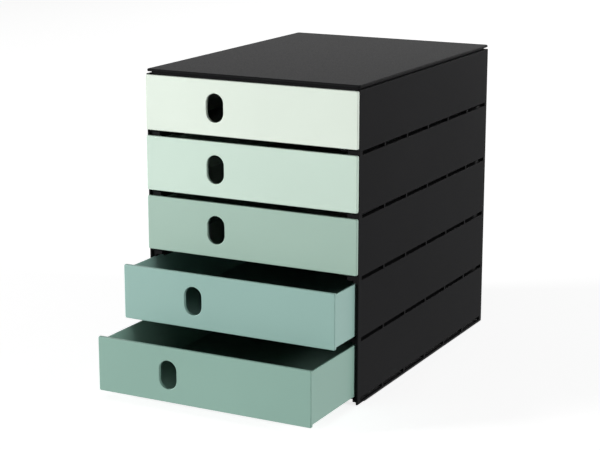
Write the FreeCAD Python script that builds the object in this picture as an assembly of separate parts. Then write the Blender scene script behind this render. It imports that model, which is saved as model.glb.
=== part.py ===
"""Desk drawer box for A4/C4 papers: five stacked housing tiers, a top cover and five closed-front drawers.

Millimetres. +X to the right, +Z up, the drawers open towards -Y. The origin lies on the desk, under the
middle of the whole box as it stands with its two lowest drawers pulled out. Tier 1 and drawer 1 are
the lowest.
"""
import FreeCAD, Part
import os

# ---- housing ----
tier_count = 5
housing_width = 242.0
housing_depth = 334.5
tier_pitch = 63.0            # height that each tier adds to the stack
wall = 2.0
floor_thickness = 2.0
floor_setback = 7.0          # from the housing's front edge back to the floor
corner_radius = 1.5          # upright outer rear corners of the walls
wall_edge_radius = 0.5       # outer top edge of the walls
wall_front_radius = 0.7      # outer upright front edges of the walls

# ---- the joint between one tier and the next ----
notch_height = 6.2           # height of the notches along a wall's lower edge, up to the floor
wall_rise = 2.1              # how far the walls and the seat ledge below reach up into those notches
seat_width = 4.5
seat_setback = 2.0           # from the housing's front edge back to the ledges and pads
skirt_space = 10.0           # from the walls in to the skirts that screen the slots from inside
skirt_thickness = 1.5
ledge_lap = 0.4              # how far the ledge reaches below the recesses for the tabs
tab_width = 2.6
end_tab = 7.2
side_notches = 6
rear_notches = 4
tab_gap = 0.1                # between a tab and the recess it keys into
base_rail_height = 2.0       # the rail that closes the lowest tier's notches underneath

# ---- top cover ----
cover_thickness = 2.8
cover_gap = 2.0              # shadow gap between the highest walls and the cover
cover_wall_rise = 3.3        # the highest tier's walls reach this far past its pitch
cover_corner_radius = 3.0    # its upright corners
cover_edge_radius = 1.2
cover_lower_radius = 1.0
rim_inset = 4.0              # from the cover's edge to its underside rim
rim_width = 2.0

# ---- drawers ----
front_thickness = 3.0
front_side_gap = 0.5         # the front is narrower than the housing by this much each side
front_space = 6.0            # upright space between one front and the next
front_corner_radius = 1.6
front_edge_radius = 1.0
front_root_radius = 2.0      # inside, where the tray meets the front
tray_wall = 2.0
tray_floor = 2.0
tray_inset = 3.4             # from the front's side edge in to the tray's wall
tray_lift = 0.35             # from the front's lower edge up to the tray's underside
tray_corner_radius = 4.0
tray_inner_radius = 2.0
tray_rim_radius = 0.6
tray_rear_space = 4.5
hole_width = 19.8
hole_height = 29.6
hole_offset = 38.7           # from the middle of the front to the left
hole_edge_radius = 0.6
pull_outs = (97.0, 47.3, 0.0, 0.0, 0.0)

# ---- runners, guides and stops ----
slide_gap = 0.3
runner_height = 0.4
runner_width = 4.0
runner_spread = 168.0
guide_height = 3.0
guide_end_space = 6.0
stop_width = 24.0
stop_spread = 144.0
stop_thickness = 2.5
stop_overlap = 1.6
stop_setback = 76.0          # from the housing's front edge back to the stop ribs

# ---- rubber feet ----
foot_standout = 0.5          # how far the feet lift the lowest tier off the desk
foot_diameter = 12.0
foot_stem_diameter = 7.0
foot_stem_height = 3.0
foot_seat_height = 2.0       # lower face of a foot boss above its tier's lower edge
foot_edge_radius = 0.6
foot_side_inset = 24.0
foot_end_inset = 22.0

# ---- modelling aids, not sizes of the box ----
overcut = 1.0                # how far a cutter reaches past the material
same = 1e-6                  # two places closer than this are the same place

# ---- places that follow from those sizes ----
half_width = housing_width / 2
whole_depth = max(pull_outs) + front_thickness + slide_gap + housing_depth
housing_front = whole_depth / 2 - housing_depth
housing_rear = whole_depth / 2
floor_top = notch_height + floor_thickness
runner_top = floor_top + runner_height
tray_bottom = runner_top + slide_gap
front_bottom = tray_bottom - tray_lift
front_top = tier_pitch + front_bottom - front_space
ledge_bottom = tier_pitch - ledge_lap
tray_top = ledge_bottom - slide_gap
stop_bottom = tray_top + 2 * slide_gap
front_half = half_width - front_side_gap
tray_half = front_half - tray_inset
front_back_face = housing_front - slide_gap
tray_rear = housing_rear - wall - tray_rear_space
cover_bottom = cover_wall_rise + cover_gap
stop_front = housing_front + stop_setback
drawer_travel = tray_rear - tray_wall - stop_front - stop_thickness


def span(x, y, z):
    """A box between two limits along each axis."""
    corner = FreeCAD.Vector(x[0], y[0], z[0])
    return Part.makeBox(x[1] - x[0], y[1] - y[0], z[1] - z[0], corner)


def upright_edges(shape, radius, keep=lambda point: True):
    """Round the edges parallel to Z whose middle passes the test."""
    edges = []
    for edge in shape.Edges:
        ends = edge.Vertexes
        straight = len(ends) == 2 and abs(ends[0].X - ends[1].X) + abs(ends[0].Y - ends[1].Y) < same
        if straight and keep(edge.CenterOfMass):
            edges.append(edge)
    return shape.makeFillet(radius, edges)


def level_edges(shape, height, radius, keep=lambda point: True):
    """Round the edges that lie at one height and whose middle passes the test."""
    edges = [edge for edge in shape.Edges
             if all(abs(corner.Z - height) < same for corner in edge.Vertexes) and keep(edge.CenterOfMass)]
    return shape.makeFillet(radius, edges)


def tab_places(length, count):
    """The stretches between the notches of one wall, measured from its first end."""
    notch = (length - 2 * end_tab - (count - 1) * tab_width) / count
    inner = [end_tab + notch + step * (notch + tab_width) for step in range(count - 1)]
    return [(0.0, end_tab)] + [(start, start + tab_width) for start in inner] + [(length - end_tab, length)]


def between(places):
    """The gaps between neighbouring stretches."""
    return [(low[1], high[0]) for low, high in zip(places, places[1:])]


side_tabs = [(housing_front + low, housing_front + high)
             for low, high in tab_places(housing_depth, side_notches)]
rear_tabs = [(low - half_width, high - half_width)
             for low, high in tab_places(housing_width, rear_notches)]


def both_sides(inner, outer, y, z):
    """A pair of mirrored boxes, left and right."""
    return [span((-outer, -inner), y, z), span((inner, outer), y, z)]


def wall_band(z):
    """The two side walls and the rear wall between two heights, with their outer upright edges rounded."""
    block = span((-half_width, half_width), (housing_front, housing_rear), z)
    block = upright_edges(block, corner_radius, lambda point: point.y > housing_front + same)
    block = upright_edges(block, wall_front_radius, lambda point: point.y < housing_front + same)
    inside = half_width - wall
    hollow = span((-inside, inside), (housing_front - overcut, housing_rear - wall),
                  (z[0] - overcut, z[1] + overcut))
    return block.cut(hollow)


def lower_notches(bottom):
    """Cutters for the notches, or the closed slots, along the lower part of the three walls."""
    height = (bottom, notch_height)
    cutters = []
    for y in between(side_tabs):
        cutters += both_sides(half_width - wall - overcut, half_width + overcut, y, height)
    for x in between(rear_tabs):
        cutters.append(span(x, (housing_rear - wall - overcut, housing_rear + overcut), height))
    return cutters


def upper_recesses():
    """Cutters in the walls' upper edge for the tabs of the tier above."""
    height = (tier_pitch, tier_pitch + wall_rise + overcut)
    cutters = []
    for low, high in side_tabs:
        y = (low - tab_gap, high + tab_gap)
        cutters += both_sides(half_width - wall, half_width + overcut, y, height)
    for low, high in rear_tabs:
        x = (low - tab_gap, high + tab_gap)
        cutters.append(span(x, (housing_rear - wall, housing_rear + overcut), height))
    return cutters


def seat_ledges():
    """The ledge along the top of each side wall, which also holds the drawer down."""
    inside = half_width - wall
    y = (housing_front + seat_setback, housing_rear - wall)
    return both_sides(inside - seat_width, inside, y, (ledge_bottom, tier_pitch + wall_rise))


def seat_pads(front_width):
    """Pads beside the tabs, from the floor down to the ledge of the tier below; the foremost may be wider."""
    inside = half_width - wall
    height = (wall_rise, notch_height)
    foremost, *others = side_tabs
    y = (foremost[0] + seat_setback, foremost[1])
    pads = both_sides(inside - front_width, inside, y, height)
    for y in others:
        pads += both_sides(inside - seat_width, inside, y, height)
    return pads


def skirts():
    """The rib along each side under a stacked tier's floor, which keeps light and dust out of the drawer below."""
    outer = half_width - wall - skirt_space
    y = (housing_front + floor_setback, housing_rear - wall)
    return both_sides(outer - skirt_thickness, outer, y, (stop_bottom - tier_pitch, notch_height))


def stop_ribs(top):
    """The two ribs under a floor or cover that catch the drawer below at full travel."""
    middle = stop_spread / 2
    y = (stop_front, stop_front + stop_thickness)
    z = (stop_bottom - tier_pitch, top)
    return both_sides(middle - stop_width / 2, middle + stop_width / 2, y, z)


def foot_centres():
    """The four places of the feet, seen from above."""
    return [FreeCAD.Vector(side * (half_width - foot_side_inset), y, 0)
            for side in (-1, 1)
            for y in (housing_front + foot_end_inset, housing_rear - foot_end_inset)]


def foot_bosses():
    """The rings under the floor that hold the feet of the lowest tier."""
    height = notch_height - foot_seat_height
    bosses = []
    for centre in foot_centres():
        base = centre + FreeCAD.Vector(0, 0, foot_seat_height)
        bore = Part.makeCylinder(foot_stem_diameter / 2, height, base)
        bosses.append(Part.makeCylinder(foot_diameter / 2, height, base).cut(bore))
    return bosses


def runners():
    """The two ribs on the floor that the drawer slides on."""
    middle = runner_spread / 2
    y = (housing_front + floor_setback, housing_rear - wall)
    return both_sides(middle - runner_width / 2, middle + runner_width / 2, y, (floor_top, runner_top))


def side_guides():
    """The rib half-way up each side wall that centres the drawer."""
    height = (tray_bottom + tray_top - guide_height) / 2
    y = (housing_front + guide_end_space, housing_rear - wall - guide_end_space)
    return both_sides(tray_half + slide_gap, half_width - wall, y, (height, height + guide_height))


def outer_edge(point):
    """Whether a level edge of the walls, given by its middle, runs along their outside."""
    return abs(point.x) > half_width - wall / 2 or point.y > housing_rear - wall / 2


def housing_tier(rise, recesses, notch_bottom, underside):
    """One tier with its lower edge at height zero, a single moulding of walls, floor and ribs."""
    inside = half_width - wall
    walls = wall_band((0, tier_pitch + rise))
    walls = level_edges(walls, tier_pitch + rise, wall_edge_radius, outer_edge)
    if notch_bottom > 0:
        walls = level_edges(walls, 0, wall_edge_radius, outer_edge)
    walls = walls.cut(lower_notches(notch_bottom) + recesses)
    floor_depth = (housing_front + floor_setback, housing_rear - wall)
    floor = span((-inside, inside), floor_depth, (notch_height, floor_top))
    ribs = stop_ribs(notch_height) + foot_bosses() + runners() + side_guides()
    return walls.fuse([floor] + seat_ledges() + underside + ribs).removeSplitter()


def top_cover():
    """The plate over the highest tier with its rim and stop ribs; height zero is that tier's pitch."""
    top = cover_bottom + cover_thickness
    plate = span((-half_width, half_width), (housing_front, housing_rear), (cover_bottom, top))
    plate = upright_edges(plate, cover_corner_radius)
    plate = level_edges(plate, top, cover_edge_radius)
    plate = level_edges(plate, cover_bottom, cover_lower_radius)
    rim_half = half_width - rim_inset
    rim_y = (housing_front + rim_inset, housing_rear - rim_inset)
    rim = span((-rim_half, rim_half), rim_y, (wall_rise, cover_bottom))
    hollow_half = rim_half - rim_width
    hollow_y = (rim_y[0] + rim_width, rim_y[1] - rim_width)
    rim = rim.cut(span((-hollow_half, hollow_half), hollow_y, (wall_rise - overcut, cover_bottom)))
    return plate.fuse([rim] + stop_ribs(cover_bottom)).removeSplitter()


def finger_hole():
    """The upright slot with round ends through a drawer front."""
    radius = hole_width / 2
    middle = (front_bottom + front_top) / 2
    rise = hole_height / 2 - radius
    y = front_back_face - front_thickness - overcut
    depth = front_thickness + 2 * overcut
    x = (-hole_offset - radius, -hole_offset + radius)
    shape = span(x, (y, y + depth), (middle - rise, middle + rise))
    backwards = FreeCAD.Vector(0, 1, 0)
    for side in (-1, 1):
        centre = FreeCAD.Vector(-hole_offset, y, middle + side * rise)
        shape = shape.fuse(Part.makeCylinder(radius, depth, centre, backwards))
    return shape.removeSplitter()


def drawer_front():
    """The front plate with its rounded corners, softened face edge and finger hole."""
    face = front_back_face - front_thickness
    plate = span((-front_half, front_half), (face, front_back_face), (front_bottom, front_top))
    corners = [edge for edge in plate.Edges
               if abs(edge.Vertexes[0].Y - edge.Vertexes[1].Y) > front_thickness / 2]
    plate = plate.makeFillet(front_corner_radius, corners)
    plate = plate.makeFillet(front_edge_radius, face_edges(plate, face))
    plate = plate.cut(finger_hole())
    mouth = [edge for edge in face_edges(plate, face) if hole_edge(edge)]
    return plate.makeFillet(hole_edge_radius, mouth)


def face_edges(shape, y):
    """The edges that lie in the upright plane at one depth."""
    return [edge for edge in shape.Edges if all(abs(corner.Y - y) < same for corner in edge.Vertexes)]


def hole_edge(edge):
    """Whether an edge of the front belongs to the finger hole's mouth."""
    point = edge.CenterOfMass
    middle = (front_bottom + front_top) / 2
    return abs(point.x + hole_offset) < hole_width and abs(point.z - middle) < hole_height


def drawer_tray():
    """The open tray behind the front: floor, side walls and rear wall."""
    inner = tray_half - tray_wall
    shell = span((-tray_half, tray_half), (front_back_face, tray_rear), (tray_bottom, tray_top))
    shell = upright_edges(shell, tray_corner_radius, lambda point: point.y > front_back_face + same)
    hollow = span((-inner, inner), (front_back_face, tray_rear - tray_wall),
                  (tray_bottom + tray_floor, tray_top + overcut))
    hollow = upright_edges(hollow, tray_inner_radius, lambda point: point.y > front_back_face + same)
    shell = shell.cut(hollow)
    return level_edges(shell, tray_top, tray_rim_radius, lambda point: point.y > front_back_face + same)


def stop_lugs():
    """The two raised tongues on the tray's rear wall that meet the stop ribs."""
    middle = stop_spread / 2
    y = (tray_rear - tray_wall, tray_rear)
    z = (tray_top - 2 * tray_rim_radius, stop_bottom + stop_overlap)
    return both_sides(middle - stop_width / 2, middle + stop_width / 2, y, z)


def root_fillets():
    """Concave quarter rounds where the tray's side walls run into the back of the front."""
    inner = tray_half - tray_wall
    low, high = front_back_face, front_back_face + front_root_radius
    z = (tray_bottom + tray_floor, tray_top - tray_rim_radius)
    blocks = []
    for side in (-1, 1):
        x = sorted((side * inner, side * (inner - front_root_radius)))
        centre = FreeCAD.Vector(side * (inner - front_root_radius), high, z[0] - overcut)
        bite = Part.makeCylinder(front_root_radius, z[1] - z[0] + 2 * overcut, centre)
        blocks.append(span(x, (low, high), z).cut(bite))
    return blocks


def drawer():
    """One closed-front drawer, pushed home in the tier whose lower edge is at height zero."""
    return drawer_front().fuse([drawer_tray()] + stop_lugs() + root_fillets()).removeSplitter()


def rubber_foot(centre):
    """One foot: a soft pad on the desk with a stem pressed up into its boss."""
    height = foot_standout + foot_seat_height
    pad = Part.makeCylinder(foot_diameter / 2, height, centre)
    pad = level_edges(pad, 0, foot_edge_radius)
    stem_base = centre + FreeCAD.Vector(0, 0, height)
    return pad.fuse(Part.makeCylinder(foot_stem_diameter / 2, foot_stem_height, stem_base))


def placed(shape, y, z):
    """A copy of a shape moved back and up."""
    moved = shape.copy()
    moved.translate(FreeCAD.Vector(0, y, z))
    return moved


nodes = {"rubber_feet": Part.makeCompound([rubber_foot(centre) for centre in foot_centres()])}
stacked_underside = seat_pads(skirt_space + skirt_thickness) + skirts()
lowest_tier = housing_tier(wall_rise, upper_recesses(), base_rail_height, seat_pads(seat_width))
middle_tier = housing_tier(wall_rise, upper_recesses(), -overcut, stacked_underside)
highest_tier = housing_tier(cover_wall_rise, [], -overcut, stacked_underside)
drawer_shape = drawer()
for tier in range(tier_count):
    height = foot_standout + tier * tier_pitch
    tier_shape = {0: lowest_tier, tier_count - 1: highest_tier}.get(tier, middle_tier)
    nodes[f"housing_tier_{tier + 1}"] = placed(tier_shape, 0, height)
    nodes[f"drawer_{tier + 1}"] = placed(drawer_shape, -pull_outs[tier], height)
nodes["top_cover"] = placed(top_cover(), 0, foot_standout + tier_count * tier_pitch)

os.makedirs("parts", exist_ok=True)
for name, shape in nodes.items():
    if not shape.isValid():
        raise ValueError(name + " is not a valid solid")
    shape.exportStep(f"parts/{name}.step")
    print(f"{name:16s} {len(shape.Solids)} solids  {shape.Volume / 1000:8.1f} cm3")
print(f"drawer travel {drawer_travel:.1f}")
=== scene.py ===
"""Looks for the desk drawer box: five dark tiers, a cover, and closed-front drawers in five greens."""

import math

import bmesh
import bpy
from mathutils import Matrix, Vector


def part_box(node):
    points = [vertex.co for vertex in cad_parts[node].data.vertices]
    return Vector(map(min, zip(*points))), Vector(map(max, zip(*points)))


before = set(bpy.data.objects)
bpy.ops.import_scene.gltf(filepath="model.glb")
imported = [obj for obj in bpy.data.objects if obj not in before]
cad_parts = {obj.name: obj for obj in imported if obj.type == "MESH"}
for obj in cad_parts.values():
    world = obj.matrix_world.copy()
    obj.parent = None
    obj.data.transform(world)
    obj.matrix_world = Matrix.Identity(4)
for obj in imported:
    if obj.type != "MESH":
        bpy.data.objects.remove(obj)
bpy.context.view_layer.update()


# ---- rubber feet ----
# Four round feet moulded in soft thermoplastic rubber, which keep the box from sliding on the desk.
# Each one is pressed by its stem into a ring under the floor of the lowest tier.
def linear(colour):
    """The linear RGBA of an sRGB hex colour."""
    channels = [int(colour[start:start + 2], 16) / 255 for start in (1, 3, 5)]
    return [c / 12.92 if c <= 0.04045 else ((c + 0.055) / 1.055) ** 2.4 for c in channels] + [1.0]


def add_node(material, kind, settings, links):
    """One shader node: settings are its properties, links its sockets' values or the outputs they take."""
    tree = material.node_tree
    node = tree.nodes.new(kind)
    for name, value in settings.items():
        setattr(node, name, value)
    for socket, value in links.items():
        if isinstance(value, bpy.types.NodeSocket):
            tree.links.new(value, node.inputs[socket])
        else:
            node.inputs[socket].default_value = value
    return node


def empty_material(name):
    """A material whose node tree starts empty."""
    material = bpy.data.materials.new(name)
    material.use_nodes = True
    material.node_tree.nodes.clear()
    return material


foot_black = "#1c1c1d"
foot_clouded_black = "#2b2b2c"
foot_skin_grain = 0.0015     # metres; the real grain of 0.1 mm would not show, so it is drawn coarser
foot_skin_height = 0.0001    # metres from the grain's low to its high places
foot_skin_strength = 0.25
foot_roughness = 0.85
polymer_ior = 1.5            # typical of the rubber, and near enough for polystyrene

# Black thermoplastic rubber from a matt mould: it gives back almost no gloss, and its skin looks faintly
# cloudy.
rubber = empty_material("moulded_matt_black_rubber")
place = add_node(rubber, "ShaderNodeTexCoord", {}, {})
skin = add_node(rubber, "ShaderNodeTexNoise", {},
                {"Vector": place.outputs["Object"], "Scale": 1 / foot_skin_grain, "Detail": 3.0})
tint = add_node(rubber, "ShaderNodeValToRGB", {}, {"Fac": skin.outputs["Fac"]})
tint.color_ramp.elements[0].color = linear(foot_black)
tint.color_ramp.elements[1].color = linear(foot_clouded_black)
relief = add_node(rubber, "ShaderNodeBump", {},
                  {"Height": skin.outputs["Fac"], "Strength": foot_skin_strength,
                   "Distance": foot_skin_height})
surface = add_node(rubber, "ShaderNodeBsdfPrincipled", {},
                   {"Base Color": tint.outputs["Color"], "Roughness": foot_roughness, "IOR": polymer_ior,
                    "Normal": relief.outputs["Normal"]})
add_node(rubber, "ShaderNodeOutputMaterial", {}, {"Surface": surface.outputs["BSDF"]})
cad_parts["rubber_feet"].material_slots[0].material = rubber


# ---- housing tiers ----
# Five like trays of high-impact polystyrene, each injection moulded in one piece: floor, three walls, ribs.
# They stack by the tabs along their lower edges, and the notches between the tabs make the rows of slots.
anthracite_dark = "#1c1c1d"
anthracite_light = "#202021"
anthracite_grain = 0.0012    # metres; the real spark-eroded grain is near 0.1 mm, drawn coarser to show
grain_height = 0.00005       # metres from the grain's low to its high places
grain_strength = 0.15
anthracite_cloud = 0.09      # metres, over which the melt's flow shifts the shade a little
anthracite_roughness = (0.3, 0.4)   # least and most
anthracite_specular = 0.006  # low, so that it stays dark from the front and shines only at a low angle
noise_low, noise_high = 0.3, 0.7    # nearly all of a noise's values lie between these

# Anthracite polystyrene from a spark-eroded mould: a deep neutral grey that stays matt from the front, and
# takes a soft even sheen where it is seen at a low angle, as on the cover.
anthracite = empty_material("moulded_anthracite_polystyrene")
place = add_node(anthracite, "ShaderNodeTexCoord", {}, {})
grain = add_node(anthracite, "ShaderNodeTexNoise", {},
                 {"Vector": place.outputs["Object"], "Scale": 1 / anthracite_grain, "Detail": 2.0})
cloud = add_node(anthracite, "ShaderNodeTexNoise", {},
                 {"Vector": place.outputs["Object"], "Scale": 1 / anthracite_cloud, "Detail": 2.0})
tint = add_node(anthracite, "ShaderNodeValToRGB", {}, {"Fac": cloud.outputs["Fac"]})
tint.color_ramp.elements[0].color = linear(anthracite_dark)
tint.color_ramp.elements[1].color = linear(anthracite_light)
gloss = add_node(anthracite, "ShaderNodeMapRange", {},
                 {"Value": grain.outputs["Fac"], "From Min": noise_low, "From Max": noise_high,
                  "To Min": anthracite_roughness[0], "To Max": anthracite_roughness[1]})
relief = add_node(anthracite, "ShaderNodeBump", {},
                  {"Height": grain.outputs["Fac"], "Strength": grain_strength, "Distance": grain_height})
surface = add_node(anthracite, "ShaderNodeBsdfPrincipled", {},
                   {"Base Color": tint.outputs["Color"], "Roughness": gloss.outputs["Result"],
                    "IOR": polymer_ior, "Specular IOR Level": anthracite_specular,
                    "Normal": relief.outputs["Normal"]})
add_node(anthracite, "ShaderNodeOutputMaterial", {}, {"Surface": surface.outputs["BSDF"]})
for name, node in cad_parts.items():
    if name.startswith("housing_tier"):
        node.material_slots[0].material = anthracite


# ---- top cover ----
# A flat plate moulded in the same anthracite polystyrene. A rim underneath sits inside the highest tier,
# and holds the plate just clear of the walls, over a shadow gap.
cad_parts["top_cover"].material_slots[0].material = anthracite


# ---- drawers ----
# Five like trays, each moulded in one piece with its closed front and finger hole, and slid into its tier.
# They are polystyrene dyed right through, one green a step deeper than the next from the top drawer down.
drawer_greens = {
    "drawer_5": ("pale_mint", "#dee9dd"),
    "drawer_4": ("mint", "#c8dccf"),
    "drawer_3": ("sage", "#a3bdb0"),
    "drawer_2": ("sea_green", "#93b4ac"),
    "drawer_1": ("jade", "#8aab9f"),
}
drawer_cloud = 0.12          # metres, over which the dye varies a little
dye_variation = 0.015        # share by which it gets lighter or deeper
drawer_polish = 0.001        # metres; the mould's polish leaves a finer waviness, drawn coarser to show
polish_height = 0.00004      # metres from the waviness's low to its high places
polish_strength = 0.08
drawer_roughness = (0.3, 0.36)      # least and most
drawer_specular = 0.25


# Polystyrene from a satin-polished mould: even, opaque colour with a soft sheen, a touch lighter or deeper
# in wide clouds.
def satin_polystyrene(name, colour):
    """The drawers' plastic in one green."""
    material = empty_material(name)
    place = add_node(material, "ShaderNodeTexCoord", {}, {})
    cloud = add_node(material, "ShaderNodeTexNoise", {},
                     {"Vector": place.outputs["Object"], "Scale": 1 / drawer_cloud, "Detail": 2.0})
    polish = add_node(material, "ShaderNodeTexNoise", {},
                      {"Vector": place.outputs["Object"], "Scale": 1 / drawer_polish, "Detail": 2.0})
    shade = add_node(material, "ShaderNodeMapRange", {},
                     {"Value": cloud.outputs["Fac"], "From Min": noise_low, "From Max": noise_high,
                      "To Min": 1 - dye_variation, "To Max": 1 + dye_variation})
    tint = add_node(material, "ShaderNodeHueSaturation", {},
                    {"Color": linear(colour), "Value": shade.outputs["Result"]})
    gloss = add_node(material, "ShaderNodeMapRange", {},
                     {"Value": cloud.outputs["Fac"], "From Min": noise_low, "From Max": noise_high,
                      "To Min": drawer_roughness[0], "To Max": drawer_roughness[1]})
    relief = add_node(material, "ShaderNodeBump", {},
                      {"Height": polish.outputs["Fac"], "Strength": polish_strength,
                       "Distance": polish_height})
    surface = add_node(material, "ShaderNodeBsdfPrincipled", {},
                       {"Base Color": tint.outputs["Color"], "Roughness": gloss.outputs["Result"],
                        "IOR": polymer_ior, "Specular IOR Level": drawer_specular,
                        "Normal": relief.outputs["Normal"]})
    add_node(material, "ShaderNodeOutputMaterial", {}, {"Surface": surface.outputs["BSDF"]})
    return material


for name, (green, colour) in drawer_greens.items():
    plastic = satin_polystyrene(green + "_satin_polystyrene", colour)
    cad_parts[name].material_slots[0].material = plastic


# ---- studio floor ----
# A wide sheet of white paper under the box. It catches the box's shadow, and the eye and the gloss of the
# plastic see it lifted to white by a glow, apart from a rectangle at the box's footprint, where the glow is
# masked off as painted shade and the paper shows its shadowed, lit colour.
floor_half_width = 6.0       # metres; a wider sheet shows as a grey band in views from low down
paper_colour = "#c8c8c8"
paper_lift = 0.79            # brightness that the eye and the gloss get on top of the lit paper
contact_setback = 0.016      # metres, from the housing's front edge back to where the painted shade under the box begins and the paper stays unlifted


def seen_directly(material):
    """One where the camera, a glossy or a clear surface sees this material, and zero for all other light."""
    ray = add_node(material, "ShaderNodeLightPath", {}, {})
    eye = add_node(material, "ShaderNodeMath", {"operation": "MAXIMUM"},
                   {0: ray.outputs["Is Camera Ray"], 1: ray.outputs["Is Glossy Ray"]})
    either = add_node(material, "ShaderNodeMath", {"operation": "MAXIMUM"},
                      {0: eye.outputs["Value"], 1: ray.outputs["Is Transmission Ray"]})
    return either.outputs["Value"]


sheet = bmesh.new()
bmesh.ops.create_grid(sheet, x_segments=1, y_segments=1, size=floor_half_width)
floor_mesh = bpy.data.meshes.new("studio_floor")
sheet.to_mesh(floor_mesh)
sheet.free()
floor = bpy.data.objects.new("studio_floor", floor_mesh)
bpy.context.scene.collection.objects.link(floor)

paper = empty_material("white_studio_paper")
spot = add_node(paper, "ShaderNodeTexCoord", {}, {})
axes = add_node(paper, "ShaderNodeSeparateXYZ", {}, {"Vector": spot.outputs["Object"]})
covered = []
under_low, under_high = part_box("housing_tier_1")
under_low = (under_low[0], under_low[1] + contact_setback)
for axis, low, high in zip("XY", under_low, under_high):
    within = add_node(paper, "ShaderNodeMath", {"operation": "COMPARE"},
                      {0: axes.outputs[axis], 1: (low + high) / 2, 2: (high - low) / 2})
    covered.append(within.outputs["Value"])
# Painted shade under the box: the glow is masked off over the box's footprint, from the setback back.
painted_shade_footprint = add_node(paper, "ShaderNodeMath", {"operation": "MULTIPLY"}, {0: covered[0], 1: covered[1]})
open_floor = add_node(paper, "ShaderNodeMath", {"operation": "SUBTRACT"},
                      {0: 1.0, 1: painted_shade_footprint.outputs["Value"]})
seen_open = add_node(paper, "ShaderNodeMath", {"operation": "MULTIPLY"},
                     {0: seen_directly(paper), 1: open_floor.outputs["Value"]})
lift = add_node(paper, "ShaderNodeMath", {"operation": "MULTIPLY"},
                {0: seen_open.outputs["Value"], 1: paper_lift})
matt = add_node(paper, "ShaderNodeBsdfDiffuse", {}, {"Color": linear(paper_colour)})
glow = add_node(paper, "ShaderNodeEmission", {}, {"Strength": lift.outputs["Value"]})
both = add_node(paper, "ShaderNodeAddShader", {}, {0: matt.outputs["BSDF"], 1: glow.outputs["Emission"]})
add_node(paper, "ShaderNodeOutputMaterial", {}, {"Surface": both.outputs["Shader"]})
floor_mesh.materials.append(paper)


# ---- studio light ----
# White surroundings, dim as a light source, and three large soft boxes: the main one in front to the left,
# one to the right for the box's side, and a weaker one behind it, for its rear wall.
ambient_level = 0.04         # as a light source
white_level = 1.0            # as the eye and the gloss see it
light_target = Vector((0, -0.05, 0.16))     # metres; near the middle of the box

surroundings = bpy.data.worlds.new("white_surroundings")
surroundings.use_nodes = True
surroundings.node_tree.nodes.clear()
bpy.context.scene.world = surroundings
level = add_node(surroundings, "ShaderNodeMapRange", {},
                 {"Value": seen_directly(surroundings), "To Min": ambient_level, "To Max": white_level})
sky = add_node(surroundings, "ShaderNodeBackground", {},
               {"Color": linear("#ffffff"), "Strength": level.outputs["Result"]})
add_node(surroundings, "ShaderNodeOutputWorld", {}, {"Surface": sky.outputs["Background"]})


def soft_box(name, place, width, power):
    """A square soft box that faces the box: place and width in metres, power in watts."""
    lamp = bpy.data.lights.new(name, "AREA")
    lamp.shape = "SQUARE"
    lamp.size = width
    lamp.energy = power
    holder = bpy.data.objects.new(name, lamp)
    holder.location = place
    holder.rotation_euler = (light_target - Vector(place)).to_track_quat("-Z", "Y").to_euler()
    bpy.context.scene.collection.objects.link(holder)


soft_box("front_soft_box", place=(-3.9, -3.0, 0.8), width=1.6, power=338)
soft_box("side_soft_box", place=(4.5, 0.1, 1.0), width=2.0, power=152)
soft_box("rear_soft_box", place=(0.4, 4.6, 1.0), width=2.0, power=75)


# ---- camera ----
# A long lens to the right of the box's front, a little above it.
frame_width = 600            # pixels
focal_length = 1689.0        # pixels
camera_place = (0.81080, -1.56197, 0.57495)    # metres
camera_tilt = 13.647         # degrees below level
camera_turn = 27.577         # degrees to the left of +Y
camera_data = bpy.data.cameras.new("camera")
camera_data.lens = camera_data.sensor_width * focal_length / frame_width
camera = bpy.data.objects.new("camera", camera_data)
camera.location = camera_place
camera.rotation_euler = (math.radians(90 - camera_tilt), 0, math.radians(camera_turn))
bpy.context.scene.collection.objects.link(camera)
bpy.context.scene.camera = camera
bpy.context.scene.view_settings.view_transform = "Standard"
